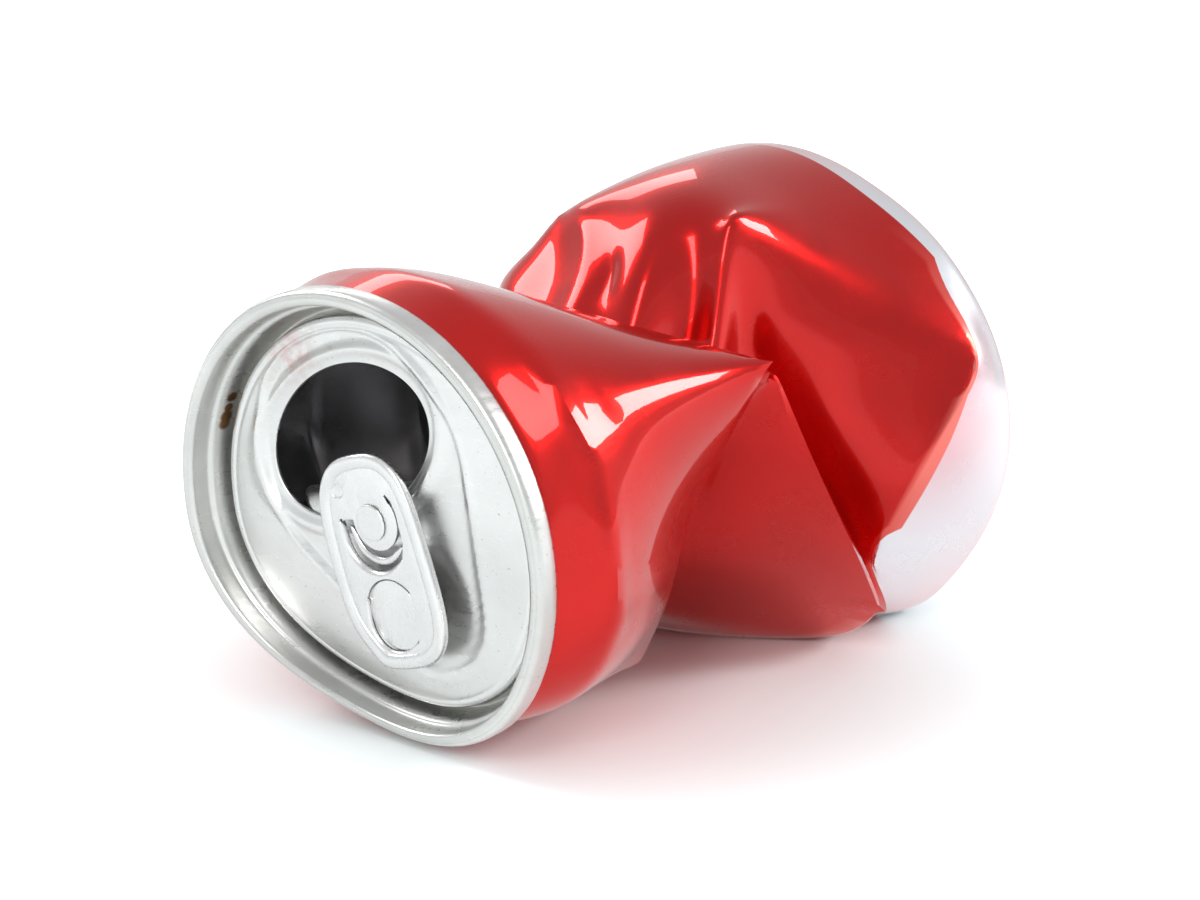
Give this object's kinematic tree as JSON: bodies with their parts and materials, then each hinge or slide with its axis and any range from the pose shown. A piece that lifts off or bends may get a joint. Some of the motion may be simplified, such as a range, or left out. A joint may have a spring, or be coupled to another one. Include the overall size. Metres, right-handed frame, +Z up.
{
  "type": "crushed drink can",
  "caption": "Crushed empty drink can lying on its side, with a red wall folded into facets, a bare end with an open mouth and a pull tab swung off its line",
  "frame": {"origin": "On the surface the can lies on, under the middle of its outline", "axes": "X across the can, Y along it from the drinking end (low Y) to the base (high Y), Z up"},
  "size_m": [0.0657, 0.0942, 0.0596],
  "materials": {
    "red_lacquer": "glossy red lacquer over thin aluminium, bare metal past the printed edge",
    "bare_aluminium": "satin bare aluminium with faint drawing marks, drops and stains",
    "tab_aluminium": "smooth bare aluminium with rolled edges",
    "seam_compound": "dull grey sealing compound"
  },
  "bodies": {
    "can": {"can_body": "red_lacquer", "can_end": "bare_aluminium", "seam_seal": "seam_compound"},
    "tab": {"pull_tab": "tab_aluminium"}
  },
  "joints": [
    {"name": "tab_swivel", "type": "hinge", "parent": "can", "child": "tab", "pos_m": [0.00056, -0.0405, 0.0253], "axis": [0, -0.9952, -0.0976], "range_deg": [-10, 25]}
  ]
}
